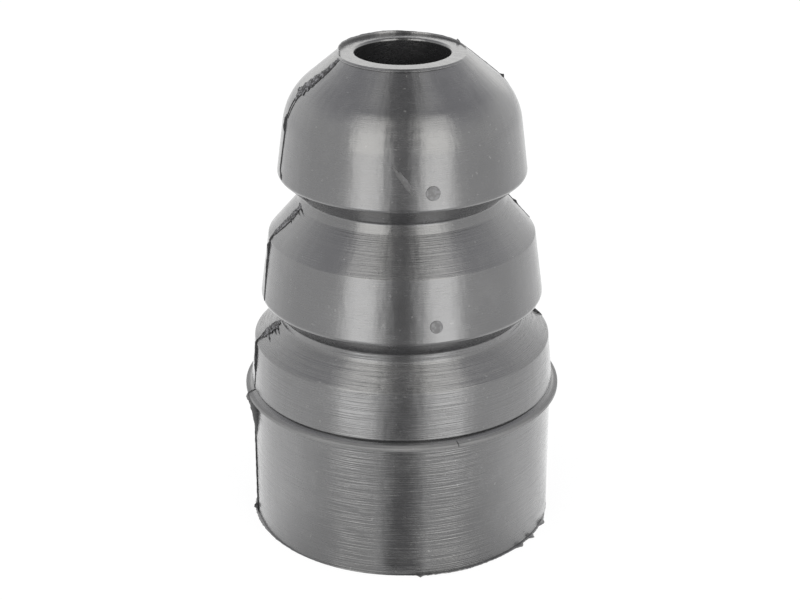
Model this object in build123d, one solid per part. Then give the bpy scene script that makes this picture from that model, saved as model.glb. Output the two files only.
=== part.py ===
"""Rubber buffer of a suspension strut: one moulded rubber body that slides on the damper rod.

Millimetres, +Z up along the rod bore. The origin is the bore's centre in the base's flat underside.
"""
from build123d import *
import os
from dataclasses import dataclass

# Rod bore, straight through the whole body
bore_radius = 10.0
bore_mouth_bevel = 0.3

# Base, the plain cylinder that sits in the steel cup
base_radius = 33.0
base_height = 29.4
base_edge_bevel = 0.6

# Flange, the thin bead that stops the base at the cup's rim
flange_reach = 1.65
flange_underside_rise = 1.4
flange_thickness = 1.1
flange_top_rise = 0.3

# Nose, the flat ring round the bore's upper end
nose_radius = 13.5


@dataclass
class Lobe:
    """A lobe as a section from its foot up: undercut, flared skirt, crease and conical shoulder."""

    root_radius: float
    undercut_rise: float
    foot_radius: float
    foot_blend: float
    skirt_height: float
    crease_radius: float
    crease_blend: float
    shoulder_height: float
    shoulder_radius: float


lower_lobe = Lobe(
    root_radius=32.8,
    undercut_rise=0.6,
    foot_radius=33.35,
    foot_blend=0,
    skirt_height=10.1,
    crease_radius=32.3,
    crease_blend=0,
    shoulder_height=4.2,
    shoulder_radius=26.7,
)
middle_lobe = Lobe(
    root_radius=26.7,
    undercut_rise=3.7,
    foot_radius=30.6,
    foot_blend=1.1,
    skirt_height=13.7,
    crease_radius=28.7,
    crease_blend=0,
    shoulder_height=7.3,
    shoulder_radius=22.4,
)
upper_lobe = Lobe(
    root_radius=21.5,
    undercut_rise=4.5,
    foot_radius=26.6,
    foot_blend=1.1,
    skirt_height=16.4,
    crease_radius=24.5,
    crease_blend=12.5,
    shoulder_height=9.3,
    shoulder_radius=nose_radius,
)

# Collars, the short walls between a lobe's shoulder and the undercut of the lobe above it
lower_collar_height = 2.1
upper_collar_height = 1.9

# Flash, the thin rubber squeezed out between the two halves of the mould above the cup's rim
parting_angle = 13.5
fin_reach = 0.3
fin_thickness = 0.3

# Lip of flash round the nose, low on the front half and high on the back half
lip_thickness = 0.35
lip_root = 0.6
lip_height_front = 0.25
lip_height_back_left = 0.95
lip_height_back_right = 0.55

# Tab of flash on the flange's left edge
tab_reach = 1.2
tab_thickness = 0.7

# Stubs of the mould's vents on the two upper skirts, a quarter turn from the parting plane
stub_radius = 1.5
stub_height = 0.15
stub_root = 1.0
stub_rise = 3.7


# Heights that follow from the sizes above
flange_radius = base_radius + flange_reach
flange_corner_height = base_height + flange_underside_rise
lower_foot_height = flange_corner_height + flange_thickness + flange_top_rise + lower_lobe.undercut_rise
lower_top_height = lower_foot_height + lower_lobe.skirt_height + lower_lobe.shoulder_height
middle_foot_height = lower_top_height + lower_collar_height + middle_lobe.undercut_rise
middle_top_height = middle_foot_height + middle_lobe.skirt_height + middle_lobe.shoulder_height
upper_foot_height = middle_top_height + upper_collar_height + upper_lobe.undercut_rise
body_height = upper_foot_height + upper_lobe.skirt_height + upper_lobe.shoulder_height


def base_corners():
    """Corners of the base and the flange as (radius, height, blend), going up the outside."""
    return [
        (base_radius - base_edge_bevel, 0, 0),
        (base_radius, base_edge_bevel, 0),
        (base_radius, base_height, 0),
        (flange_radius, flange_corner_height, 0),
        (flange_radius, flange_corner_height + flange_thickness, 0),
    ]


def lobe_corners(lobe, foot_height):
    """Corners of a lobe's root, foot, crease and shoulder."""
    crease_height = foot_height + lobe.skirt_height
    return [
        (lobe.root_radius, foot_height - lobe.undercut_rise, 0),
        (lobe.foot_radius, foot_height, lobe.foot_blend),
        (lobe.crease_radius, crease_height, lobe.crease_blend),
        (lobe.shoulder_radius, crease_height + lobe.shoulder_height, 0),
    ]


def section():
    """Half of the body's section, drawn with radius along X and height along Y."""
    corners = [
        (bore_radius, 0, 0),
        *base_corners(),
        *lobe_corners(lower_lobe, lower_foot_height),
        *lobe_corners(middle_lobe, middle_foot_height),
        *lobe_corners(upper_lobe, upper_foot_height),
        (bore_radius + bore_mouth_bevel, body_height, 0),
        (bore_radius, body_height - bore_mouth_bevel, 0),
    ]
    points = [(radius, height) for radius, height, blend in corners]
    blends = [blend for radius, height, blend in corners]
    return make_face(FilletPolyline(*points, radius=blends, close=True))


def plate(face, thickness, angle):
    """A section face stood up in the plane at this angle round the bore, and given a thickness."""
    return Rot(0, 0, angle) * extrude(Plane.XZ * face, thickness / 2, both=True)


def parting_fin(angle):
    """The thin ridge that follows the outline above the cup's rim, where the mould's halves meet."""
    fin = plate(offset(section(), fin_reach, kind=Kind.INTERSECTION), fin_thickness, angle)
    height = body_height - flange_corner_height
    room = Cylinder(flange_radius + fin_reach, height) - Cylinder(bore_radius + bore_mouth_bevel, height)
    return fin & Pos(0, 0, flange_corner_height + height / 2) * room


def flange_tab():
    """The tab of flash that stands out of the flange's edge on the left."""
    outline = Pos(flange_radius, flange_corner_height + flange_thickness / 2) * Rectangle(2 * tab_reach, flange_thickness)
    return plate(outline, tab_thickness, parting_angle + 180)


def half_ring(height, back):
    """Half of the lip round the nose, on one side of the parting plane."""
    ring = Cylinder(nose_radius, lip_root + height) - Cylinder(nose_radius - lip_thickness, lip_root + height)
    half = split(Rot(0, 0, -parting_angle) * ring, bisect_by=Plane.XZ, keep=Keep.BOTTOM if back else Keep.TOP)
    return Rot(0, 0, parting_angle) * Pos(0, 0, body_height + (height - lip_root) / 2) * half


def nose_lip():
    """The lip of flash round the nose; the back half slopes down from left to right."""
    back = half_ring(lip_height_back_left, back=True)
    mean_height = (lip_height_back_left + lip_height_back_right) / 2
    fall = (lip_height_back_left - lip_height_back_right) / (2 * nose_radius)
    slope = Rot(0, 0, parting_angle) * Plane(origin=(0, 0, body_height + mean_height), z_dir=(fall, 0, 1))
    return split(back, bisect_by=slope, keep=Keep.BOTTOM) + half_ring(lip_height_front, back=False)


def vent_stub(lobe, foot_height):
    """A round stub of a mould vent, square to a lobe's skirt."""
    radius = lobe.foot_radius + (lobe.crease_radius - lobe.foot_radius) * stub_rise / lobe.skirt_height
    skirt_normal = (lobe.skirt_height, 0, lobe.foot_radius - lobe.crease_radius)
    seat = Plane(origin=(radius, 0, foot_height + stub_rise), z_dir=skirt_normal)
    stub = seat * Pos(0, 0, (stub_height - stub_root) / 2) * Cylinder(stub_radius, stub_height + stub_root)
    return Rot(0, 0, parting_angle - 90) * stub


def rubber_buffer():
    """The whole moulded body with its flash."""
    body = revolve(Plane.XZ * section(), Axis.Z)
    body += [parting_fin(parting_angle), parting_fin(parting_angle + 180), flange_tab(), nose_lip()]
    body += [vent_stub(middle_lobe, middle_foot_height), vent_stub(upper_lobe, upper_foot_height)]
    return body


os.makedirs("parts", exist_ok=True)
buffer = rubber_buffer()
export_step(buffer, "parts/rubber_buffer.step")
print("rubber_buffer", "solids", len(buffer.solids()), "volume", round(buffer.volume), "height", round(body_height, 2))
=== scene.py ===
"""Rubber buffer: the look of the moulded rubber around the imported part, and the stage that it stands on."""

import math
from dataclasses import dataclass

import bmesh
import bpy
from mathutils import Euler, Matrix, Vector


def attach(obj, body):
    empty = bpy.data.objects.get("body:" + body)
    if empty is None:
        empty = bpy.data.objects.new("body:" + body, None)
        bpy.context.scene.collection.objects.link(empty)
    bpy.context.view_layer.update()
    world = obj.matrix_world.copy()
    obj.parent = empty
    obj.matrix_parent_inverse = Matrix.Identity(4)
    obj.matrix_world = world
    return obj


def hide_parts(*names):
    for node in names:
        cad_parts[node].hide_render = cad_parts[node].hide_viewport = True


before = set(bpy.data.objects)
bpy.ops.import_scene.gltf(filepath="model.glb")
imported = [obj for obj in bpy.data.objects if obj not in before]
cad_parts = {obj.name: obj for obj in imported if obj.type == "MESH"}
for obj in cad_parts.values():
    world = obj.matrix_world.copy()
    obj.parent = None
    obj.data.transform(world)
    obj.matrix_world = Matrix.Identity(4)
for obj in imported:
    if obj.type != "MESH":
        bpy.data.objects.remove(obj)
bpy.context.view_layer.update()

bl_info = {
    "name": "Rubber buffer",
    "version": (1, 0, 0),
    "blender": (4, 5, 0),
    "location": "View3D > Sidebar > Buffer",
    "description": "Dresses the rubber buffer of a suspension strut and sets up its studio",
    "category": "Object",
}

MM = 0.001
BODY = "root"
NODE = "rubber_buffer"

# Sizes of the moulding, in millimetres
bore_radius = 10.0
bore_mouth_blend = 0.5
base_radius = 33.0
base_height = 30.1
base_edge_blend = 0.12
flange_radius = 34.65
flange_underside_rise = 0.7
flange_thickness = 0.7
flange_blend = 0.25
flange_edge_blend = 0.12
flange_top_rise = 0.8
nose_radius = 13.5
nose_blend = 0.25
crease_blend = 0.4
root_blend = 0.6
collar_blend = 0.9
parting_angle = math.radians(13.5)

# Height above which the moulding leans, in millimetres
lean_start = 45.0

# Spacing of the rings of points along the section, in millimetres
ring_step = 0.5
bore_ring_step = 5.0
support_step = 0.12
stub_step = 0.3
arc_points = 4


@dataclass
class Lobe:
    """A lobe as a section from its foot up, in millimetres."""

    root_radius: float
    undercut_rise: float
    foot_radius: float
    foot_blend: float
    skirt_height: float
    crease_radius: float
    crease_blend: float
    shoulder_height: float
    shoulder_radius: float


lower_lobe = Lobe(32.45, 0.25, 33.3, 0.25, 10.35, 32.3, crease_blend, 4.2, 26.7)
lower_collar_height = 2.1
middle_lobe = Lobe(26.7, 3.7, 30.6, 1.1, 13.7, 28.7, crease_blend, 7.3, 22.4)
upper_collar_height = 1.9
upper_lobe = Lobe(21.5, 4.5, 26.6, 1.1, 16.4, 24.5, 13.5, 9.3, nose_radius)

flange_corner_height = base_height + flange_underside_rise
flange_top_height = flange_corner_height + flange_thickness
lower_foot_height = flange_top_height + flange_top_rise + lower_lobe.undercut_rise
lower_top_height = lower_foot_height + lower_lobe.skirt_height + lower_lobe.shoulder_height
middle_foot_height = lower_top_height + lower_collar_height + middle_lobe.undercut_rise
middle_top_height = middle_foot_height + middle_lobe.skirt_height + middle_lobe.shoulder_height
upper_foot_height = middle_top_height + upper_collar_height + upper_lobe.undercut_rise
body_height = upper_foot_height + upper_lobe.skirt_height + upper_lobe.shoulder_height

# Vent stubs, a quarter turn from the parting plane
stub_rise = 3.7
stub_sizes = {"upper": 1.5, "middle": 1.35}
stub_height = 0.13
stub_root = 0.8
stub_blend = 0.1
stub_segments = 40

# Spacing of points along the flash, the torn bands and the tears, and the depth of their roots
flash_step = 0.25
band_step = 0.1
tear_step = 0.12
flash_depth = 0.3

# Flash: stations of (height, azimuth, reach, half width), in millimetres and degrees from the right
left_ridges = [
    [
        (0.3, -171, 0.3, 0.1), (0.7, -171, 0.9, 0.3), (1.5, -170.8, 0.8, 0.3), (2, -170.8, 0.3, 0.1),
        (10.5, -170.5, 0.28, 0.07), (11, -169.8, 0.3, 0.2), (11.5, -170.3, 0.28, 0.07),
        (23, -170, 0.25, 0.07), (27, -168, 0.25, 0.07), (29, -166.5, 0.1, 0.1),
    ],
    [
        (32.3, -165, 0.1, 0.06), (36.2, -165.3, 0.12, 0.08), (37.4, -165.5, 0.35, 0.2),
        (41.5, -165.8, 0.5, 0.28), (43.2, -168.5, 0.2, 0.16), (45.2, -170.5, 0.15, 0.12),
        (46.2, -172, 0.1, 0.05),
    ],
    [
        (53.2, -164.6, 0.06, 0.05), (55, -165.2, 0.12, 0.08), (60, -166.6, 0.25, 0.14),
        (64.5, -167, 0.35, 0.25), (65.4, -167.3, 0.6, 0.4), (66.2, -167, 0.2, 0.2),
        (67, -167.3, 0.3, 0.25), (67.6, -168, 0.1, 0.1),
    ],
    [
        (67, -167.6, 0, 0.05), (68, -166.2, 0.1, 0.1), (70.2, -163.2, 0.12, 0.12),
        (72.2, -161.4, 0.12, 0.12), (73.4, -161.5, 0.1, 0.1), (74.2, -163, 0, 0.05),
    ],
    [
        (80.8, -161.5, 0.05, 0.06), (81.4, -162.5, 0.2, 0.2), (82.4, -164.8, 0.06, 0.07),
        (90.4, -163.4, 0.08, 0.07), (91.5, -164.8, 0.4, 0.28), (93.4, -165.6, 0.35, 0.3),
        (94.4, -165, 0.1, 0.1), (97.6, -165.6, 0.1, 0.1),
    ],
    [
        (81.4, -163.6, 0, 0.05), (82.4, -166.2, 0.05, 0.07), (90.4, -164.9, 0.06, 0.07),
        (91.2, -165.4, 0, 0.05),
    ],
    [
        (93.8, -162.8, 0.05, 0.05), (96, -162.6, 0.1, 0.1), (98, -162.4, 0.1, 0.1),
        (99.2, -160.6, 0.12, 0.14), (100.4, -159, 0.15, 0.2), (101.7, -157.6, 0.12, 0.14),
        (103.2, -156.8, 0.15, 0.18), (104.6, -156.6, 0.1, 0.1), (105.6, -157.8, 0, 0.05),
    ],
]

right_ridges = [
    [
        (0.4, 13.5, 0, 0.05), (0.8, 13.5, 0.12, 0.1), (29.6, 13.5, 0.12, 0.1), (30, 13.5, 0, 0.05),
    ],
    [
        (32.4, 13.5, 0.1, 0.08), (43, 13.5, 0.1, 0.1), (44, 13.5, 0.4, 0.2), (44.8, 13.5, 0.1, 0.1),
        (52.9, 13.5, 0.1, 0.08), (69.8, 13.5, 0.1, 0.08), (70.6, 13.5, 0.4, 0.18),
        (71.4, 13.5, 0.1, 0.1), (80.3, 13.5, 0.1, 0.08), (97, 13.5, 0.08, 0.07), (98.3, 16, 0.1, 0.08),
        (98.7, 17, 0.55, 0.18), (99.2, 18, 0.1, 0.08), (103, 21, 0.12, 0.08), (105.6, 26, 0.16, 0.1),
        (105.9, 27, 0.1, 0.1),
    ],
]

# Web under the flange on the left, with the knob at its top
flange_web = [
    (20.5, -166.5, 0, 0.08), (22.5, -166, 0.35, 0.1), (24.5, -165, 0.75, 0.12),
    (26.5, -164.5, 1.1, 0.16), (28.4, -164.5, 1.4, 0.22), (29.6, -164.5, 1.75, 0.4),
    (30.3, -164.5, 1.75, 0.5), (30.9, -164.8, 0.65, 0.35), (31.5, -165.5, 0.2, 0.2),
    (32.1, -166, 0.1, 0.1),
]

# Torn skin on the three shoulders: a broad band each, then the narrow tears that run from it
torn_bands = {
    "upper": [
        (97.2, -164, 0, 0.1), (98.2, -164.4, 0.2, 0.9), (99.2, -164.9, 0.25, 1.7),
        (100.4, -163.5, 0.25, 1.6), (101.7, -162, 0.25, 1.4), (103.2, -160, 0.2, 1),
        (104.6, -159.4, 0.15, 0.8), (105.7, -159.6, 0.05, 0.6),
    ],
    "middle": [
        (66.9, -168.4, 0, 0.3), (68, -168, 0.08, 0.9), (70.2, -166, 0.1, 1.3),
        (72.2, -164.4, 0.12, 1.25), (73.4, -163.8, 0.2, 0.9), (74.4, -164.4, 0.05, 0.3),
    ],
    "lower": [
        (43.2, -168.4, 0, 0.3), (44, -168.6, 0.12, 1.1), (44.8, -168.6, 0.2, 1.7),
        (45.6, -168.8, 0.15, 2), (46.3, -169.5, 0.1, 1.7), (46.9, -171, 0.05, 1.1),
    ],
}
narrow_tears = {
    "upper": [
        [(98.3, -166.5, 0, 0.1), (98.9, -170, 0.25, 0.25), (99.2, -172.5, 0, 0.1)],
        [(99, -160.8, 0, 0.08), (98.4, -163, 0.2, 0.16), (97.8, -164.6, 0, 0.08)],
        [(92.6, -165.2, 0, 0.1), (93.4, -166.6, 0.3, 0.2), (94.2, -167, 0, 0.1)],
    ],
    "middle": [
        [(74.3, -168, 0, 0.06), (74.2, -165, 0.25, 0.2), (74.1, -162, 0, 0.05)],
        [(74, -165.3, 0, 0.06), (73.8, -160, 0.2, 0.18), (73.4, -153.6, 0, 0.04)],
        [(73.7, -166.7, 0, 0.06), (73.3, -162.8, 0.25, 0.22), (73, -157, 0, 0.04)],
        [(73, -167.9, 0, 0.06), (73, -165, 0.25, 0.2), (72.9, -160, 0, 0.04)],
        [(72.5, -164.5, 0, 0.05), (72.1, -162.5, 0.2, 0.16), (71.7, -159.5, 0, 0.04)],
        [(71.9, -163.8, 0, 0.05), (71.5, -161.8, 0.16, 0.14), (71.1, -159.8, 0, 0.04)],
    ],
    "lower": [
        [(45.6, -172.4, 0, 0.1), (45.5, -169, 0.35, 0.3), (45.3, -164, 0, 0.06)],
        [(46, -170.4, 0, 0.08), (45.8, -166.5, 0.25, 0.2), (45.7, -160.8, 0, 0.05)],
        [(46.5, -168.8, 0, 0.08), (46.3, -164.5, 0.2, 0.18), (46.1, -159.4, 0, 0.05)],
        [(44.8, -166, 0, 0.05), (44.7, -163, 0.16, 0.16), (44.5, -159.8, 0, 0.04)],
        [(44.9, -170.6, 0, 0.1), (44.3, -169.6, 0.3, 0.4), (43.4, -168.7, 0, 0.06)],
    ],
}

# Circles that the lip, the ledge and the trim follow: radius and height
lip_circle = (nose_radius - 0.2, body_height)
ledge_circle = (nose_radius + 0.4, body_height - 0.38)
trim_circle = (base_radius - 0.1, 0.2)

# Lip and ledge round the nose: azimuth, reach, half width
nose_lip = [
    (8, 0, 0.05), (13.5, 0.25, 0.1), (25, 0.25, 0.12), (28, 0.6, 0.25), (30.5, 0.75, 0.3),
    (32, 0.4, 0.16), (60, 0.5, 0.16), (100, 0.75, 0.18), (185, 0.8, 0.18), (193, 0.8, 0.2),
    (195, 0, 0.05),
]
nose_ledge = [
    (-162, 0, 0.05), (-150, 0.15, 0.1), (-112, 0.3, 0.12), (-90, 0.35, 0.12), (-66, 0.3, 0.12),
    (-40, 0.12, 0.1), (-25, 0, 0.05),
]

# Trim left along the base's lower edge: azimuth, reach, half width
base_trim = [
    (-180, 0.5, 0.12), (-172, 0.8, 0.12), (-166, 0.7, 0.12), (-150, 0.45, 0.1), (-130, 0.3, 0.1),
    (-100, 0.2, 0.1), (-88, 0.35, 0.12), (-85, 0.5, 0.12), (-83.4, 1.25, 0.12), (-82, 0.7, 0.12),
    (-75, 0.8, 0.12), (-66, 0.9, 0.12), (-58, 0.6, 0.12), (-42, 0.5, 0.12), (-39.2, 1.3, 0.12),
    (-37, 0.5, 0.12), (-33, 0.5, 0.12), (-31.4, 1.3, 0.12), (-29, 0.45, 0.12), (-23, 0.4, 0.12),
    (-20, 1.1, 0.12), (-17, 0.4, 0.12), (-12, 0.15, 0.1), (180, 0.1, 0.1),
]

# Small marks on the skin, as stations on the surface
scuffs = [
    [(89.6, -94.4, 0, 0.1), (87.6, -91.4, 0.01, 0.35), (85.4, -88, 0.01, 0.3), (83.6, -85.4, 0, 0.1)],
    [(88.6, -91.4, 0, 0.1), (86.9, -88.8, 0.01, 0.3), (84.9, -85.8, 0.01, 0.25), (83.8, -84.2, 0, 0.1)],
    [(14.5, -89.6, 0, 0.1), (14.2, -89, 0.04, 0.3), (14, -88.2, 0, 0.1)],
]
nicks = [[(30.9, -70.1, 0, 0.06), (31.4, -70.2, 0.03, 0.12), (31.9, -70.4, 0, 0.06)]]

# Where the skin changes: over these heights in millimetres, by how level it is, and away from the front
flange_span = (29.0, 33.0)
lower_groove_span = (46.0, 52.0)
upper_groove_span = (74.0, 82.0)
shoulder_slope = (0.35, 0.6)
front_edge = (-0.9, -0.7)

# Strength of each kind of relief and wear on the base and on the lower, middle and upper lobes
line_strengths = (4.4, 2.0, 1.0, 0.3)
shoulder_strengths = (-0.6, -0.6, 0.4, 0.4)
step_strengths = (1.0, 1.0, 0.0, 0.0)
dent_strengths = (1.3, 0.0, 0.0, 0.0)
scratch_strengths = (1.0, 1.0, 0.6, 0.6)

# Pitch of the turned steps on the lowest shoulder, in millimetres
step_pitch = 0.5

# Rubber without its skin: crumb size and depth, darkest and palest shade, roughness, refractive index
dull_finishes = {
    "flash_rubber": (0.4, 0.1, 0.5, 1.6, 0.6, 1.45),
    "torn_rubber": (0.3, 0.25, 0.2, 6.0, 0.55, 1.5),
    "vent_rubber": (0.35, 0.06, 1.0, 2.8, 0.55, 2.1),
    "scuffed_rubber": (0.3, 0.02, 0.7, 1.5, 0.5, 1.95),
}

# The photograph's camera
focal_length = 80.4
camera_distance = 0.3585
camera_height = 0.2073
camera_pitch = math.radians(23.72)
camera_yaw = math.radians(-0.06)
camera_roll = math.radians(0.08)


def length_property(name, description, millimetres):
    """A length for the user to change, with its default in millimetres."""
    return bpy.props.FloatProperty(
        name=name, description=description, default=millimetres * MM,
        subtype="DISTANCE", unit="LENGTH", precision=6,
    )


def brightness_property(name, description, default):
    """A brightness for the user to change, where 1 is the white of the background."""
    return bpy.props.FloatProperty(name=name, description=description, default=default, min=0.0)


def share_property(name, description, default):
    """A share for the user to change, from 0 to 1."""
    return bpy.props.FloatProperty(
        name=name, description=description, default=default, subtype="FACTOR", min=0.0, max=1.0
    )


def index_property(name, description, default):
    """A refractive index for the user to change."""
    return bpy.props.FloatProperty(name=name, description=description, default=default, min=1.0, max=3.0)


class BodySizes(bpy.types.PropertyGroup):
    """How finely the body is turned and marked."""

    segments: bpy.props.IntProperty(
        name="Segments", description="Points round the bore on each ring", default=200, min=24, max=240
    )
    line_depth: length_property("Line depth", "Depth of the turning lines left by the mould", 0.05)
    line_pitch: length_property("Line pitch", "Mean distance between turning lines", 1.6)
    lean: length_property("Lean", "How far the nose stands to the right of the base", 0.25)


class RubberLook(bpy.types.PropertyGroup):
    """Finish of the moulded rubber."""

    colour: bpy.props.FloatVectorProperty(
        name="Colour", description="Base colour of the rubber", default=(0.036, 0.036, 0.038),
        subtype="COLOR", size=3, min=0.0, max=1.0,
    )
    roughness: share_property("Roughness", "Mean roughness of the moulded skin", 0.23)
    gloss_index: index_property("Gloss index", "Refractive index of the skin, for its reflections", 2.3)
    ripple_bump: length_property("Ripple depth", "Depth of the shallow upright ripples in the skin", 0.05)
    step_bump: length_property("Step depth", "Depth of the turned steps on the lowest shoulder", 0.1)
    line_bump: length_property("Fine line depth", "Depth of the finest turning lines in the skin", 0.05)
    dust: share_property("Dust", "How much the dusty patches lighten the rubber", 0.04)


class StageLook(bpy.types.PropertyGroup):
    """Light and background of the studio."""

    background: brightness_property("Background", "Brightness of the white background", 1.0)
    fill: brightness_property("Fill", "Brightness of the light that comes from all round", 0.85)
    low_boxes: brightness_property("Low boxes", "Brightness of the two soft boxes beside the camera", 1.95)
    high_boxes: brightness_property("High boxes", "Brightness of the two soft boxes above those", 1.55)
    top_boxes: brightness_property("Top boxes", "Brightness of the two soft boxes overhead", 0.6)
    back_box: brightness_property("Back box", "Brightness of the soft box behind the object", 0.45)
    pale_cards: brightness_property("Pale cards", "Brightness of the two cards on the floor", 3.0)
    dark_card: brightness_property("Dark card", "Brightness of the dark card behind the camera", 0.1)
    card_width: length_property("Card width", "Width of the dark card", 660.0)
    floor_index: index_property("Floor index", "Refractive index of the floor's polish", 1.6)


class Expression:
    """A node's output that can be used in sums; each operator adds its Math node."""

    def __init__(self, maker, socket):
        self.maker = maker
        self.socket = socket

    def math(self, operation, *values):
        """A Math node's result."""
        return self.maker.node("ShaderNodeMath", {"operation": operation}, *values)

    def outputs(self):
        """Every output of the same node, by name."""
        return {socket.name: Expression(self.maker, socket) for socket in self.socket.node.outputs}

    def __add__(self, other):
        return self.math("ADD", self, other)

    def __radd__(self, other):
        return self.math("ADD", other, self)

    def __sub__(self, other):
        return self.math("SUBTRACT", self, other)

    def __rsub__(self, other):
        return self.math("SUBTRACT", other, self)

    def __mul__(self, other):
        return self.math("MULTIPLY", self, other)

    def __rmul__(self, other):
        return self.math("MULTIPLY", other, self)

    def __truediv__(self, other):
        return self.math("DIVIDE", self, other)

    def __rtruediv__(self, other):
        return self.math("DIVIDE", other, self)

    def __pow__(self, other):
        return self.math("POWER", self, other)


class Maker:
    """Adds nodes to one tree and joins them."""

    def __init__(self, tree):
        self.tree = tree

    def node(self, kind, settings=None, *values, **named):
        """Adds a node: settings first, then values or links by socket order or by socket name."""
        made = self.tree.nodes.new(kind)
        for name, value in (settings or {}).items():
            setattr(made, name, value)
        inputs = [socket for socket in made.inputs if socket.enabled]
        for socket, value in zip(inputs, values):
            self.feed(socket, value)
        for name, value in named.items():
            wanted = name.replace("_", " ").lower()
            socket = next(socket for socket in inputs if socket.name.lower() == wanted)
            self.feed(socket, value)
        return Expression(self, next((socket for socket in made.outputs if socket.enabled), None))

    def feed(self, socket, value):
        """Links an expression to a socket, sets a plain value on it, or leaves it as it is."""
        if isinstance(value, Expression):
            self.tree.links.new(value.socket, socket)
        elif value is not None:
            socket.default_value = value

    def vector(self, operation, *values):
        """A Vector Math node's result."""
        return self.node("ShaderNodeVectorMath", {"operation": operation}, *values)

    def split(self, vector):
        """The x, y and z of a vector."""
        return list(self.node("ShaderNodeSeparateXYZ", None, vector).outputs().values())

    def join(self, x, y, z):
        """A vector of three numbers."""
        return self.node("ShaderNodeCombineXYZ", None, x, y, z)

    def grey(self, value):
        """A colour whose three parts are all this value."""
        return self.join(value, value, value)

    def noise(self, vector, scale=1.0, detail=2.0, roughness=0.5, seed=None):
        """Soft noise from 0 to 1 with a mean of about a half; a seed picks one pattern of many."""
        chosen = () if seed is None else (seed,)
        settings = {"noise_dimensions": "4D" if chosen else "3D"}
        return self.node("ShaderNodeTexNoise", settings, vector, *chosen, scale, detail, roughness)

    def smooth(self, value, start, end, low=0.0, high=1.0):
        """Goes smoothly from low to high as value goes from start to end."""
        settings = {"interpolation_type": "SMOOTHSTEP"}
        return self.node("ShaderNodeMapRange", settings, value, start, end, low, high)


def rounded(corners, step):
    """Points along a closed outline of (radius, height, blend): arcs with even runs between them."""
    turns = []
    for number, (radius, height, blend) in enumerate(corners):
        corner = Vector((radius, height))
        back = Vector(corners[number - 1][:2]) - corner
        ahead = Vector(corners[(number + 1) % len(corners)][:2]) - corner
        turns.append(arc(corner, back, ahead, blend) if blend else [corner])
    outline = []
    for turn, following in zip(turns, turns[1:] + turns[:1]):
        outline.extend(turn)
        outline.extend(run(turn[-1], following[0], step(turn[-1], following[0])))
    return outline


def arc(corner, back, ahead, radius):
    """Points on the arc that rounds a corner between the directions back and ahead."""
    back_unit = back.normalized()
    ahead_unit = ahead.normalized()
    half_angle = back_unit.angle(ahead_unit) / 2
    reach = radius / math.tan(half_angle)
    centre = corner + (back_unit + ahead_unit).normalized() * radius / math.sin(half_angle)
    start = corner + back_unit * reach - centre
    end = corner + ahead_unit * reach - centre
    turn = start.angle_signed(end)
    count = max(arc_points, math.ceil(radius * abs(turn) / ring_step) + 1)
    turned = [Matrix.Rotation(-turn * number / (count - 1), 2) @ start for number in range(count)]
    return [centre + spoke for spoke in turned]


def run(start, end, step):
    """Points strictly between two ends, a step apart, with a supporting one close to each end."""
    length = (end - start).length
    if length < 4 * support_step:
        return []
    parts = max(1, round((length - 2 * support_step) / step))
    inner = [support_step + (length - 2 * support_step) * number / parts for number in range(parts + 1)]
    return [start.lerp(end, distance / length) for distance in inner]


def lobe_corners(lobe, foot_height, bottom_blend, top_blend):
    """Corners of a lobe's root, foot, crease and shoulder."""
    crease_height = foot_height + lobe.skirt_height
    return [
        (lobe.root_radius, foot_height - lobe.undercut_rise, bottom_blend),
        (lobe.foot_radius, foot_height, lobe.foot_blend),
        (lobe.crease_radius, crease_height, lobe.crease_blend),
        (lobe.shoulder_radius, crease_height + lobe.shoulder_height, top_blend),
    ]


def section_corners():
    """Corners of the half section as (radius, height, blend), from the bore's foot round the outside."""
    return [
        (bore_radius, 0, bore_mouth_blend),
        (base_radius, 0, base_edge_blend),
        (base_radius, base_height, flange_blend),
        (flange_radius, flange_corner_height, flange_edge_blend),
        (flange_radius, flange_top_height, flange_blend),
        *lobe_corners(lower_lobe, lower_foot_height, 0, collar_blend),
        *lobe_corners(middle_lobe, middle_foot_height, root_blend, collar_blend),
        *lobe_corners(upper_lobe, upper_foot_height, root_blend, nose_blend),
        (bore_radius, body_height, bore_mouth_blend),
    ]


def section_points():
    """Points of the body's half section, in millimetres."""

    def step(start, end):
        in_bore = start.x < bore_radius + 1 and end.x < bore_radius + 1
        underneath = start.y < 1 and end.y < 1
        return bore_ring_step if in_bore or underneath else ring_step

    return rounded(section_corners(), step)


def outside_line():
    """Evenly spaced points up the outside of the section, each with the direction that faces outwards."""
    bends = [
        point for point in section_points()
        if point.x > bore_radius + 1 and 0.1 < point.y < body_height
    ]
    line = []
    for start, end in zip(bends, bends[1:]):
        parts = max(1, round((end - start).length / flash_step))
        line.extend(start.lerp(end, number / parts) for number in range(parts))
    line.append(bends[-1])
    reach = round(0.4 / flash_step)
    rows = []
    for number, point in enumerate(line):
        ahead = line[min(number + reach, len(line) - 1)] - line[max(number - reach, 0)]
        rows.append((point, Vector((ahead.y, -ahead.x)).normalized()))
    return rows


def between(stations, place):
    """The values of the stations at a place, in a straight line from each station to the next."""
    for low, high in zip(stations, stations[1:]):
        if low[0] <= place <= high[0] and low[0] < high[0]:
            share = (place - low[0]) / (high[0] - low[0])
            return [before + (after - before) * share for before, after in zip(low[1:], high[1:])]
    raise ValueError(f"no station at {place}")


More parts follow.
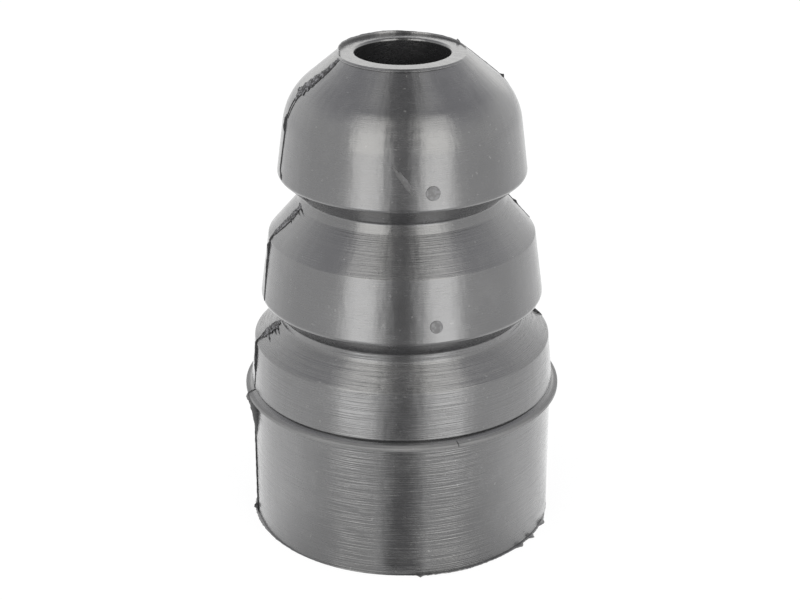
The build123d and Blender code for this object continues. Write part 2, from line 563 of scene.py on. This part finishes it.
def path_object(name, rows):
    """A path of loose points from rows of place, outward direction, reach and half width."""
    places = [place for place, *_ in rows]
    made = mesh_object(name, [place * MM for place in places])
    outward, side, size = [], [], []
    for number, (place, out, reach, breadth) in enumerate(rows):
        ahead = places[min(number + 1, len(rows) - 1)] - places[max(number - 1, 0)]
        across = ahead.cross(out).normalized()
        outward.extend(out)
        side.extend(across)
        size.extend(Vector((reach, breadth, min(flash_depth, reach + breadth))) * MM)
    for label, values in (("outward", outward), ("side", side), ("size", size)):
        made.data.attributes.new(label, "FLOAT_VECTOR", "POINT").data.foreach_set("vector", values)
    return made


def path_over(name, stations, step=flash_step):
    """A path over the outside through stations of (height, azimuth, reach, half width)."""
    line = [(point.y, point.x, facing.x, facing.y) for point, facing in outside_line()]

    def row(height, azimuth, reach, breadth):
        radius, out, up = between(line, height)
        turn = Matrix.Rotation(math.radians(azimuth), 3, "Z")
        return turn @ Vector((radius, 0, height)), turn @ Vector((out, 0, up)).normalized(), reach, breadth

    rows = []
    for start, end in zip(stations, stations[1:]):
        parts = max(2, round((row(*end)[0] - row(*start)[0]).length / step))
        for number in range(parts):
            share = number / parts
            rows.append(row(*[before + (after - before) * share for before, after in zip(start, end)]))
    rows.append(row(*stations[-1]))
    return path_object(name, rows)


def path_round(name, radius, height, lean, stations):
    """A path round the bore through stations of (azimuth, reach, half width); 0 stands out and 90 up."""
    rows = []
    start, end = stations[0][0], stations[-1][0]
    count = round(math.radians(end - start) * radius / flash_step)
    lean = math.radians(lean)
    for number in range(count + 1):
        azimuth = start + (end - start) * number / count
        reach, breadth = between(stations, azimuth)
        turn = Matrix.Rotation(math.radians(azimuth), 3, "Z")
        out = turn @ Vector((math.cos(lean), 0, math.sin(lean)))
        rows.append((turn @ Vector((radius, 0, height)), out, reach, breadth))
    return path_object(name, rows)


def mesh_object(name, vertices, edges=(), faces=()):
    """A new mesh object in the scene, in metres."""
    mesh = bpy.data.meshes.new(name)
    mesh.from_pydata(vertices, edges, faces)
    made = bpy.data.objects.new(name, mesh)
    bpy.context.scene.collection.objects.link(made)
    return made


def new_tree(name, inputs):
    """A Geometry Nodes tree with these inputs after its geometry: gives its maker and all its inputs."""
    tree = bpy.data.node_groups.new(name, "GeometryNodeTree")
    for label, kind in {"Geometry": "NodeSocketGeometry", **inputs}.items():
        tree.interface.new_socket(label, in_out="INPUT", socket_type=kind)
    tree.interface.new_socket("Geometry", in_out="OUTPUT", socket_type="NodeSocketGeometry")
    maker = Maker(tree)
    return maker, maker.node("NodeGroupInput").outputs()


def finish_tree(maker, geometry, material):
    """Shades the geometry smooth and ends the tree in Realize Instances and Set Material."""
    smooth = maker.node("GeometryNodeSetShadeSmooth", None, Geometry=geometry)
    real = maker.node("GeometryNodeRealizeInstances", None, smooth)
    painted = maker.node("GeometryNodeSetMaterial", None, Geometry=real, Material=material)
    maker.node("NodeGroupOutput", None, painted)
    return maker.tree


def baked(source, tree, values, name):
    """Runs a tree on an object and returns the result as a plain mesh object of that name."""
    modifier = source.modifiers.new(tree.name, "NODES")
    modifier.node_group = tree
    sockets = {item.name: item.identifier for item in tree.interface.items_tree if item.in_out == "INPUT"}
    for label, value in values.items():
        modifier[sockets[label]] = value
    depsgraph = bpy.context.evaluated_depsgraph_get()
    mesh = bpy.data.meshes.new_from_object(source.evaluated_get(depsgraph))
    mesh.name = name
    mesh.materials.clear()
    mesh.materials.append(values["Material"])
    mesh.polygons.foreach_set("material_index", [0] * len(mesh.polygons))
    made = bpy.data.objects.new(name, mesh)
    bpy.context.scene.collection.objects.link(made)
    source.modifiers.remove(modifier)
    bpy.data.objects.remove(source)
    if not mesh.polygons:
        raise RuntimeError(f"{name} came out empty")
    return made


def swept_grid(maker, path, columns):
    """A grid with a row for each point of a path, the column of its points, and a reader of the path."""
    rows = maker.node("GeometryNodeAttributeDomainSize", None, path)
    grid = maker.node(
        "GeometryNodeMeshGrid", None, Size_X=1.0, Size_Y=1.0, Vertices_X=columns + 1, Vertices_Y=rows
    )
    index = maker.node("GeometryNodeInputIndex")
    column = (index / rows).math("FLOOR", index / rows)
    row = index - column * rows

    def read(value):
        return maker.node("GeometryNodeSampleIndex", {"data_type": "FLOAT_VECTOR"}, path, value, row)

    return grid, column, read


def closed_skin(maker, grid, position):
    """Moves a grid's points to their places and joins its two long edges."""
    placed = maker.node("GeometryNodeSetPosition", None, Geometry=grid, Position=position)
    return maker.node("GeometryNodeMergeByDistance", None, Geometry=placed, Distance=0.001 * MM)


def turned_body_tree():
    """Turns the section's points round the bore, and cuts shallow turning lines into the outside."""
    maker, given = new_tree("turned body", {
        "Segments": "NodeSocketInt",
        "Line Depth": "NodeSocketFloat",
        "Line Pitch": "NodeSocketFloat",
        "Seed": "NodeSocketFloat",
        "Material": "NodeSocketMaterial",
    })
    grid, column, read = swept_grid(maker, given["Geometry"], given["Segments"])
    radius, _, height = maker.split(read(maker.node("GeometryNodeInputPosition")))
    angle = column * (2 * math.pi / given["Segments"])
    turned = maker.join(radius * angle.math("COSINE", angle), radius * angle.math("SINE", angle), height)
    body = closed_skin(maker, grid, turned)
    lined = maker.node("GeometryNodeSetPosition", None, Geometry=body, Offset=turning_lines(maker, given))
    return finish_tree(maker, lined, given["Material"])


def turning_lines(maker, given):
    """Offset of the outside along its normal: lines that run round the body and fade in and out."""
    place = maker.node("GeometryNodeInputPosition")
    normal = maker.node("GeometryNodeInputNormal")
    x, y, z = maker.split(place)
    radius = (x * x + y * y) ** 0.5
    coordinates = maker.join(x / radius, y / radius, (z - radius) / given["Line Pitch"])
    pattern = maker.noise(coordinates, roughness=0.55, seed=given["Seed"])
    outside = maker.smooth(radius, (bore_radius + 1) * MM, (bore_radius + 3) * MM)
    above = maker.smooth(z, 0.2 * MM, 1.0 * MM)
    depth = given["Line Depth"] * (pattern - 1.0) * outside * above
    return maker.vector("SCALE", normal, depth)


def ragged_flash_tree():
    """Sweeps a ragged ridge along a path whose points carry its reach, half width and depth."""
    maker, given = new_tree("ragged flash", {
        "Columns": "NodeSocketInt",
        "Raggedness": "NodeSocketFloat",
        "Grain": "NodeSocketFloat",
        "Seed": "NodeSocketFloat",
        "Material": "NodeSocketMaterial",
    })
    grid, column, read = swept_grid(maker, given["Geometry"], given["Columns"])
    centre = read(maker.node("GeometryNodeInputPosition"))
    outward, side, size = (
        read(maker.node("GeometryNodeInputNamedAttribute", {"data_type": "FLOAT_VECTOR"}, name))
        for name in ("outward", "side", "size")
    )
    reach, breadth, sink = maker.split(size)
    angle = column * (2 * math.pi / given["Columns"])
    across = angle.math("COSINE", angle)
    up = angle.math("SINE", angle)
    grains = maker.vector("SCALE", centre, 1 / given["Grain"])
    spot = maker.vector("ADD", grains, maker.join(across, up, across))
    tears = maker.noise(spot, detail=3.0, roughness=0.6, seed=given["Seed"])
    notches = maker.noise(spot, scale=0.6, roughness=0.6, seed=given["Seed"] + 7)
    raised = up.math("MAXIMUM", up, 0.0)
    sunk = up.math("MINIMUM", up, 0.0)
    rise = reach * raised * (1 + given["Raggedness"] * (tears - 0.5) * 2) + sink * sunk
    spread = breadth * across * (1 + given["Raggedness"] * (notches - 0.5) * 2)
    offset = maker.vector("ADD", maker.vector("SCALE", outward, rise), maker.vector("SCALE", side, spread))
    skin = closed_skin(maker, grid, maker.vector("ADD", centre, offset))
    return finish_tree(maker, skin, given["Material"])


def new_material(name):
    """An empty node material and its maker."""
    material = bpy.data.materials.new(name)
    material.use_nodes = True
    material.node_tree.nodes.clear()
    return material, Maker(material.node_tree)


class Skin:
    """Places on the moulded skin, as its relief, gloss and colour read them."""

    def __init__(self, maker):
        self.maker = maker
        self.place = maker.node("ShaderNodeTexCoord").outputs()["Object"]
        x, y, z = maker.split(self.place)
        self.radius = (x * x + y * y) ** 0.5
        self.round_x = x / self.radius
        self.round_y = y / self.radius
        self.height = z / MM
        self.along = (z - self.radius) / MM
        facing = maker.split(maker.node("ShaderNodeNewGeometry").outputs()["Normal"])
        self.shoulder = maker.smooth(facing[2], *shoulder_slope)
        self.away = maker.smooth(self.round_y, *front_edge)
        self.patches = maker.noise(self.place, scale=90.0, detail=3.0, roughness=0.6)

    def lines(self, turns, pitch, detail=2.0):
        """Noise drawn out round the bore: how often it changes in a radian, and its pitch in millimetres."""
        place = self.maker.join(self.round_x * turns, self.round_y * turns, self.along / pitch)
        return self.maker.noise(place, detail=detail)

    def by_part(self, base, lower, middle, upper):
        """A value for the base and one for each lobe, blended over the flange and the grooves."""
        value = self.maker.smooth(self.height, *flange_span, base, lower)
        value = value + self.maker.smooth(self.height, *lower_groove_span, 0.0, middle - lower)
        return value + self.maker.smooth(self.height, *upper_groove_span, 0.0, upper - middle)

    def worn(self, least):
        """1 where the lines are worn clear, down to the least value elsewhere."""
        return self.maker.smooth(self.patches, 0.3, 0.62, least, 1.0)


def skin_relief(skin, look):
    """Height of the skin: fine lines, upright ripples, steps on the lowest shoulder and shallow dents."""
    strength = skin.by_part(*line_strengths) * (1 + skin.shoulder * skin.by_part(*shoulder_strengths))
    strength = strength * (1 - 0.55 * skin.away)
    lines = (skin.lines(2.0, 0.3) - 0.5) * skin.worn(0.5) * strength * look.line_bump
    ripples = (skin.lines(12.0, 9.0) - 0.5) * look.ripple_bump
    rise = skin.along / step_pitch + skin.lines(1.5, 1.2, 1.0) * 1.6
    steps = rise.math("FRACT", rise) * skin.shoulder * skin.by_part(*step_strengths) * look.step_bump
    dents = (skin.patches - 0.5) * (1.5 * look.ripple_bump)
    dents = dents * (1 + (1 - skin.away) * skin.by_part(*dent_strengths))
    return lines + ripples + steps + dents


def moulded_rubber(look, name):
    """Near-black rubber with a satin skin that copies the mould's turning lines, dusty in places; its colour
    is halved inside the bore as painted shade and lifted on the flange ring as painted light.
    """
    material, maker = new_material(name)
    skin = Skin(maker)
    normal = maker.node("ShaderNodeBump", None, Strength=1.0, Distance=1.0, Height=skin_relief(skin, look))
    grain = maker.noise(skin.place, scale=900.0, roughness=0.6)
    # The flange ring: rougher, and lighter in colour below as painted light.
    rim = maker.smooth(skin.radius, (base_radius + 0.5) * MM, (base_radius + 1.1) * MM)
    scratches = maker.smooth(skin.lines(5.0, 0.2, 1.0), 0.55, 0.68) * skin.worn(0.4)
    scratches = scratches * skin.by_part(*scratch_strengths)
    roughness = look.roughness + (skin.patches - 0.5) * 0.14 + (grain - 0.5) * 0.08
    roughness = roughness + rim * 0.35 + scratches * 0.12
    film = maker.smooth(maker.noise(skin.place, scale=55.0, detail=5.0, roughness=0.65), 0.5, 0.72)
    specks = maker.smooth(maker.noise(skin.place, scale=1500.0, detail=0.0), 0.81, 0.85)
    outside = maker.smooth(skin.radius, (bore_radius + 0.1) * MM, (bore_radius + 0.6) * MM)
    # Dust from the film and the specks; the flange ring's lift is painted light, not dust.
    dust = (film * grain * look.dust + specks * 0.08 + rim * 0.035) * outside
    # Colour varies at random in patches; inside the bore it is halved, a painted shade for the hollow.
    shade = maker.smooth(skin.patches, 0.3, 0.7, 0.9, 1.1) * (0.5 + outside * 0.5)
    bare = maker.vector("SCALE", tuple(look.colour), shade)
    colour = maker.vector("ADD", bare, maker.join(dust, dust, dust * 0.97))
    shader = maker.node(
        "ShaderNodeBsdfPrincipled", None, Base_Color=colour, Roughness=roughness, Normal=normal,
        IOR=look.gloss_index,
    )
    maker.node("ShaderNodeOutputMaterial", None, shader)
    return material


def dull_rubber(look, name):
    """Rubber without its skin: crumbs of one size, between a dark and a pale shade of the body's colour."""
    crumb, depth, dark, pale, roughness, gloss_index = dull_finishes[name]
    material, maker = new_material(name)
    place = maker.node("ShaderNodeTexCoord").outputs()["Object"]
    crumbs = maker.noise(place, scale=1 / (crumb * MM), detail=3.0, roughness=0.6)
    flecks = maker.noise(place, scale=0.6 / (crumb * MM), detail=1.0)
    normal = maker.node("ShaderNodeBump", None, Strength=1.0, Distance=depth * MM, Height=crumbs)
    colour = maker.vector("SCALE", tuple(look.colour), maker.smooth(flecks, 0.42, 0.68, dark, pale))
    shader = maker.node(
        "ShaderNodeBsdfPrincipled", None, Base_Color=colour, Roughness=roughness + (crumbs - 0.5) * 0.3,
        Normal=normal, IOR=gloss_index,
    )
    maker.node("ShaderNodeOutputMaterial", None, shader)
    return material


def rubber(context, name):
    """The rubber of this name, made on its first use."""
    make = dull_rubber if name in dull_finishes else moulded_rubber
    return bpy.data.materials.get(name) or make(context.scene.buffer_rubber, name)


def turned_piece(outline, name, tree, material, seed, segments, depth=0.0, pitch=1.0 * MM):
    """A piece turned from the outline of its half section, with turning lines of this depth and pitch."""
    section = mesh_object("section", [(point.x * MM, 0, point.y * MM) for point in outline])
    values = {"Segments": segments, "Line Depth": depth, "Line Pitch": pitch, "Seed": seed}
    return baked(section, tree, values | {"Material": material}, name)


def ridge(path, name, tree, material, seed, raggedness, grain, columns=12):
    """A piece of flash along a path."""
    values = {"Columns": columns, "Raggedness": raggedness, "Grain": grain * MM, "Seed": seed}
    return baked(path, tree, values | {"Material": material}, name)


def joined(pieces, name):
    """One mesh object made of several that share a material."""
    shape = bmesh.new()
    material = pieces[0].data.materials[0]
    for piece in pieces:
        shape.from_mesh(piece.data)
        bpy.data.objects.remove(piece)
    made = mesh_object(name, [])
    shape.to_mesh(made.data)
    shape.free()
    made.data.materials.append(material)
    return made


def wear(piece):
    """Leans a finished piece with the moulding and puts it on its body."""
    lean = bpy.context.scene.buffer_body.lean
    for vertex in piece.data.vertices:
        share = min(1.0, max(0.0, (vertex.co.z / MM - lean_start) / (body_height - lean_start)))
        vertex.co.x += lean * share * share * (3 - 2 * share)
    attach(piece, BODY)


class BUFFER_OT_body(bpy.types.Operator):
    """Turn the moulded body round its bore"""

    bl_idname = "buffer.body"
    bl_label = "Moulded body"

    def execute(self, context):
        sizes = context.scene.buffer_body
        outline = section_points()
        outline.append(outline[0])
        skin = rubber(context, "moulded_rubber")
        body = turned_piece(
            outline, "rubber_body", turned_body_tree(), skin, 4.0, sizes.segments, sizes.line_depth,
            sizes.line_pitch,
        )
        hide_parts(NODE)
        wear(body)
        return {"FINISHED"}


class BUFFER_OT_flash(bpy.types.Operator):
    """Leave the flash that the mould squeezed out along its joint, round the nose and under the base"""

    bl_idname = "buffer.flash"
    bl_label = "Flash"

    def execute(self, context):
        tree = ragged_flash_tree()
        dark = rubber(context, "flash_rubber")
        for side, ridges, seed in (("left", left_ridges, 1.0), ("right", right_ridges, 11.0)):
            pieces = [
                ridge(path_over(side, stations), side, tree, dark, seed + number, 0.7, 1.0)
                for number, stations in enumerate(ridges)
            ]
            wear(joined(pieces, f"flash_{side}"))
        skin = rubber(context, "moulded_rubber")
        worn = rubber(context, "scuffed_rubber")
        wear(ridge(path_over("web", flange_web), "flange_web", tree, worn, 7.0, 0.3, 1.5, 16))
        lip = path_round("lip", *lip_circle, 90, nose_lip)
        wear(ridge(lip, "nose_lip", tree, skin, 3.0, 0.3, 2.5))
        ledge = path_round("ledge", *ledge_circle, 0, nose_ledge)
        wear(ridge(ledge, "nose_ledge", tree, skin, 5.0, 0.4, 1.5))
        trim = path_round("trim", *trim_circle, 0, base_trim)
        wear(ridge(trim, "base_trim", tree, skin, 4.0, 0.6, 0.9))
        return {"FINISHED"}


class BUFFER_OT_torn_places(bpy.types.Operator):
    """Tear the skin of the three shoulders where the flash was pulled off"""

    bl_idname = "buffer.torn_places"
    bl_label = "Torn places"

    def execute(self, context):
        tree = ragged_flash_tree()
        torn = rubber(context, "torn_rubber")
        for number, (place, stations) in enumerate(torn_bands.items()):
            band = path_over(place, stations, band_step)
            pieces = [ridge(band, place, tree, torn, 10.0 + number, 0.9, 0.4, 32)]
            for tear in narrow_tears[place]:
                path = path_over(place, tear, tear_step)
                pieces.append(ridge(path, place, tree, torn, 20.0 + len(pieces), 0.8, 0.5, 10))
            wear(joined(pieces, f"torn_{place}"))
        return {"FINISHED"}


class BUFFER_OT_marks(bpy.types.Operator):
    """Cut the flange's nick and scuff the skin"""

    bl_idname = "buffer.marks"
    bl_label = "Marks"

    def execute(self, context):
        tree = ragged_flash_tree()
        for name, marks, kind in (("scuffs", scuffs, "scuffed_rubber"), ("nicks", nicks, "flash_rubber")):
            worn = rubber(context, kind)
            pieces = [
                ridge(path_over(name, mark, tear_step), name, tree, worn, 30.0 + number, 0.9, 0.5)
                for number, mark in enumerate(marks)
            ]
            wear(joined(pieces, name))
        return {"FINISHED"}


class BUFFER_OT_vent_stubs(bpy.types.Operator):
    """Cut the stubs of the mould's vents off the two upper skirts"""

    bl_idname = "buffer.vent_stubs"
    bl_label = "Vent stubs"

    def execute(self, context):
        tree = turned_body_tree()
        worn = rubber(context, "vent_rubber")
        seats = {"upper": (upper_lobe, upper_foot_height), "middle": (middle_lobe, middle_foot_height)}
        for place, (lobe, foot_height) in seats.items():
            radius = stub_sizes[place]
            corners = [
                (0, -stub_root, 0),
                (radius, -stub_root, 0),
                (radius, stub_height, stub_blend),
                (0, stub_height * 0.8, 0),
            ]
            outline = rounded(corners, lambda start, end: stub_step)
            stub = turned_piece(outline, f"vent_stub_{place}", tree, worn, 5.0, stub_segments)
            stub.data.transform(vent_seat(lobe, foot_height))
            wear(stub)
        return {"FINISHED"}


def vent_seat(lobe, foot_height):
    """The place of a vent stub on a lobe's skirt, as the matrix that stands it square to the skirt."""
    lean_in = lobe.foot_radius - lobe.crease_radius
    radius = lobe.foot_radius - lean_in * stub_rise / lobe.skirt_height
    tilt = math.atan2(lobe.skirt_height, lean_in)
    seat = Matrix.Translation(Vector((radius, 0, foot_height + stub_rise)) * MM)
    return Matrix.Rotation(parting_angle - math.pi / 2, 4, "Z") @ seat @ Matrix.Rotation(tilt, 4, "Y")


def shown_share(maker):
    """Shares of the rays from the camera, and of those that show the background, there or in a gloss."""
    seen = maker.node("ShaderNodeLightPath").outputs()
    camera = seen["Is Camera Ray"]
    either = camera.math("MAXIMUM", camera, seen["Is Glossy Ray"])
    return camera, either.math("MAXIMUM", either, seen["Is Transmission Ray"])


def white_backdrop(look):
    """A world that shows white to the camera and in reflections, and lights the object softly."""
    world = bpy.data.worlds.new("white studio")
    world.use_nodes = True
    world.node_tree.nodes.clear()
    maker = Maker(world.node_tree)
    camera, shown = shown_share(maker)
    _, behind, height = maker.split(maker.node("ShaderNodeTexCoord").outputs()["Generated"])
    low_behind = maker.smooth(behind, -0.1, 0.6, 0.0, 0.3) * maker.smooth(height, 0.3, 0.7, 1.0, 0.0)
    in_gloss = maker.smooth(height, 0.3, 0.85, 1.0, 0.62) + (1 - camera) * low_behind
    strength = shown * look.background * in_gloss + (1 - shown) * look.fill
    cool = maker.smooth(height, 0.3, 0.85, 1.0, 0.95)
    light = maker.node("ShaderNodeBackground", None, maker.join(strength * cool, strength * cool, strength))
    maker.node("ShaderNodeOutputWorld", None, light)
    return world


def glow(maker, strength):
    """A surface that shines white with this strength."""
    return maker.node("ShaderNodeEmission", None, maker.grey(strength))


def pale_floor(look):
    """Polished white floor that meets the backdrop without an edge and keeps a soft shadow. Its glow is cut
    out under the body, a painted shadow, and in reflections it glows brighter behind the body and dimmer
    close in front, painted light and painted shade.
    """
    material, maker = new_material("pale floor")
    x, y, _ = maker.split(maker.node("ShaderNodeTexCoord").outputs()["Object"])
    distance = (x * x + y * y) ** 0.5
    sideways = y / distance
    # Painted shadow: the floor's glow fades out under the body and inside the bore.
    beside = maker.smooth(distance, (base_radius - 2) * MM, base_radius * MM)
    # In reflections the glow is painted brighter behind the body and dimmer in front close by: painted light
    # and painted shade.
    near = maker.smooth(distance, 90 * MM, 160 * MM, 1.0, 0.0)
    behind = maker.smooth(sideways, -0.1, 0.6, 1.0, 1.3)
    behind = behind + near * maker.smooth(sideways, -0.95, -0.2, -0.32, 0.5)
    faint = maker.node("ShaderNodeBsdfDiffuse", None, (0.12, 0.12, 0.12, 1.0))
    shown_glow = glow(maker, beside * (0.9 * look.background))
    to_camera = maker.node("ShaderNodeAddShader", None, shown_glow, faint)
    matt = maker.node("ShaderNodeBsdfDiffuse", None, (0.8, 0.8, 0.8, 1.0))
    mirror = maker.node("ShaderNodeBsdfGlossy", None, (1.0, 1.0, 1.0, 1.0), 0.3)
    polish = maker.node("ShaderNodeFresnel", None, look.floor_index)
    lit = glow(maker, beside * behind * look.background)
    to_gloss = maker.node("ShaderNodeMixShader", None, polish, lit, mirror)
    camera, shown = shown_share(maker)
    in_gloss = maker.node("ShaderNodeMixShader", None, shown, matt, to_gloss)
    both = maker.node("ShaderNodeMixShader", None, camera, in_gloss, to_camera)
    maker.node("ShaderNodeOutputMaterial", None, both)
    return material


@dataclass
class SoftBox:
    """A rectangular lamp turned to the object's middle, in degrees from the camera's side and metres."""

    azimuth: float
    elevation: float
    distance: float
    width: float
    height: float


# Soft boxes in pairs, one each side, and the one behind the object
paired_boxes = {
    "low": SoftBox(32, 17, 1.0, 0.56, 0.7),
    "high": SoftBox(38, 47, 1.0, 0.5, 0.4),
    "top": SoftBox(90, 74, 1.2, 0.17, 0.28),
}
back_box = SoftBox(180, 22, 1.0, 1.3, 0.6)
lamp_colour = (1.0, 0.985, 0.94)

# Pale cards: degrees from the camera's side, metres from the bore, and height
pale_card_turns = (13, 49)
pale_card_distances = (0.14, 0.9)
pale_card_height = 0.0006


def light(name, box, side, brightness):
    """Puts a soft box in the scene, to the right for a side of 1 and to the left for -1."""
    lamp = bpy.data.lights.new(name, "AREA")
    lamp.shape = "RECTANGLE"
    lamp.size = box.width
    lamp.size_y = box.height
    lamp.energy = brightness * math.pi * box.width * box.height
    lamp.color = lamp_colour
    made = bpy.data.objects.new(name, lamp)
    turn = math.radians(box.azimuth * side)
    rise = math.radians(box.elevation)
    away = Vector((math.sin(turn) * math.cos(rise), -math.cos(turn) * math.cos(rise), math.sin(rise)))
    made.location = Vector((0, 0, body_height * MM / 2)) + away * box.distance
    made.rotation_euler = away.to_track_quat("Z", "Y").to_euler()
    made.visible_camera = False
    bpy.context.scene.collection.objects.link(made)


def gloss_card(name, rows, brightness, background):
    """A soft-edged card between rows of two ends, seen only in the rubber's gloss."""
    columns = 9
    vertices, fade = [], []
    for start, end in rows:
        for number in range(columns):
            share = number / (columns - 1)
            vertices.append(Vector(start).lerp(Vector(end), share))
            fade.append(abs(2 * share - 1))
    faces = [
        (low, low + 1, low + columns + 1, low + columns)
        for row in range(len(rows) - 1) for low in range(row * columns, (row + 1) * columns - 1)
    ]
    card = mesh_object(name, vertices, (), faces)
    card.data.attributes.new("fade", "FLOAT", "POINT").data.foreach_set("value", fade)
    material, maker = new_material(name)
    edge = maker.node("ShaderNodeAttribute", {"attribute_name": "fade"}).outputs()["Fac"]
    shine = glow(maker, maker.smooth(edge, 0.35, 1.0, brightness, background))
    maker.node("ShaderNodeOutputMaterial", None, shine)
    card.data.materials.append(material)
    card.visible_camera = False
    card.visible_diffuse = False
    card.visible_shadow = False


def dark_card(look):
    """A dark card along the floor, up behind the camera and overhead, seen only in reflections: a painted
    dark reflection round the camera.
    """
    half = look.card_width / 2
    # Each bend is (y, z, share of the card's width)
    bends = [
        (-0.0335, 0.0008, 0.02), (-0.1, 0.001, 0.09), (-0.3, 0.001, 0.24), (-0.9, 0.001, 0.65),
        (-0.9, 0.33, 0.85), (-0.9, 0.9, 1.6), (-0.6, 1.1, 1.45), (-0.25, 1.3, 1.2),
        (0.9, 1.0, 0.95),
    ]
    rows = [[(side * share, y, z) for side in (-half, half)] for y, z, share in bends]
    gloss_card("dark_card", rows, look.dark_card, look.background)


def pale_card(name, side, look):
    """A glowing card that lies on the floor in front of a side box, seen only in reflections: a painted
    reflection of light on the floor.
    """
    turns = [math.radians(turn) * side for turn in pale_card_turns]
    rows = [
        [(math.sin(turn) * distance, -math.cos(turn) * distance, pale_card_height) for turn in turns]
        for distance in pale_card_distances
    ]
    gloss_card(name, rows, look.pale_cards, look.background)


def photo_camera():
    """The camera where the photograph's stood."""
    view = bpy.data.cameras.new("camera")
    view.lens = focal_length
    camera = bpy.data.objects.new("camera", view)
    camera.location = (0, -camera_distance, camera_height)
    aim = Euler((math.pi / 2 - camera_pitch, 0, -camera_yaw)).to_matrix()
    camera.rotation_euler = (aim @ Matrix.Rotation(-camera_roll, 3, "Z")).to_euler()
    bpy.context.scene.collection.objects.link(camera)
    return camera


class BUFFER_OT_stage(bpy.types.Operator):
    """Set up the pale floor, the soft light and the camera"""

    bl_idname = "buffer.stage"
    bl_label = "Studio"

    def execute(self, context):
        scene = context.scene
        look = scene.buffer_stage
        half = 6.0
        corners = [(-half, -half, 0), (half, -half, 0), (half, half, 0), (-half, half, 0)]
        floor = mesh_object("floor", corners, (), [(0, 1, 2, 3)])
        floor.data.materials.append(pale_floor(look))
        dark_card(look)
        pale_card("left_pale_card", -1, look)
        pale_card("right_pale_card", 1, look)
        scene.world = white_backdrop(look)
        for name, side in (("left", -1), ("right", 1)):
            for place, box in paired_boxes.items():
                light(f"{name} {place} box", box, side, getattr(look, f"{place}_boxes"))
        light("back box", back_box, 1, look.back_box)
        scene.camera = photo_camera()
        scene.view_settings.view_transform = "Standard"
        return {"FINISHED"}


class BUFFER_PT_pieces(bpy.types.Panel):
    """Lists the pieces and their sizes."""

    bl_label = "Rubber buffer"
    bl_space_type = "VIEW_3D"
    bl_region_type = "UI"
    bl_category = "Buffer"

    def draw(self, context):
        for operator in operators:
            self.layout.operator(operator.bl_idname)
        for group, kind in groups.items():
            for name in kind.__annotations__:
                self.layout.prop(getattr(context.scene, group), name)


groups = {"buffer_body": BodySizes, "buffer_rubber": RubberLook, "buffer_stage": StageLook}
operators = (
    BUFFER_OT_body,
    BUFFER_OT_flash,
    BUFFER_OT_torn_places,
    BUFFER_OT_marks,
    BUFFER_OT_vent_stubs,
    BUFFER_OT_stage,
)


def register():
    for made in (*groups.values(), *operators, BUFFER_PT_pieces):
        bpy.utils.register_class(made)
    for name, group in groups.items():
        setattr(bpy.types.Scene, name, bpy.props.PointerProperty(type=group))


def unregister():
    for name in groups:
        delattr(bpy.types.Scene, name)
    for made in reversed((*groups.values(), *operators, BUFFER_PT_pieces)):
        bpy.utils.unregister_class(made)


def main():
    """Makes every piece in order."""
    register()
    bpy.ops.buffer.body()
    bpy.ops.buffer.flash()
    bpy.ops.buffer.torn_places()
    bpy.ops.buffer.marks()
    bpy.ops.buffer.vent_stubs()
    bpy.ops.buffer.stage()


if __name__ == "__main__":
    main()
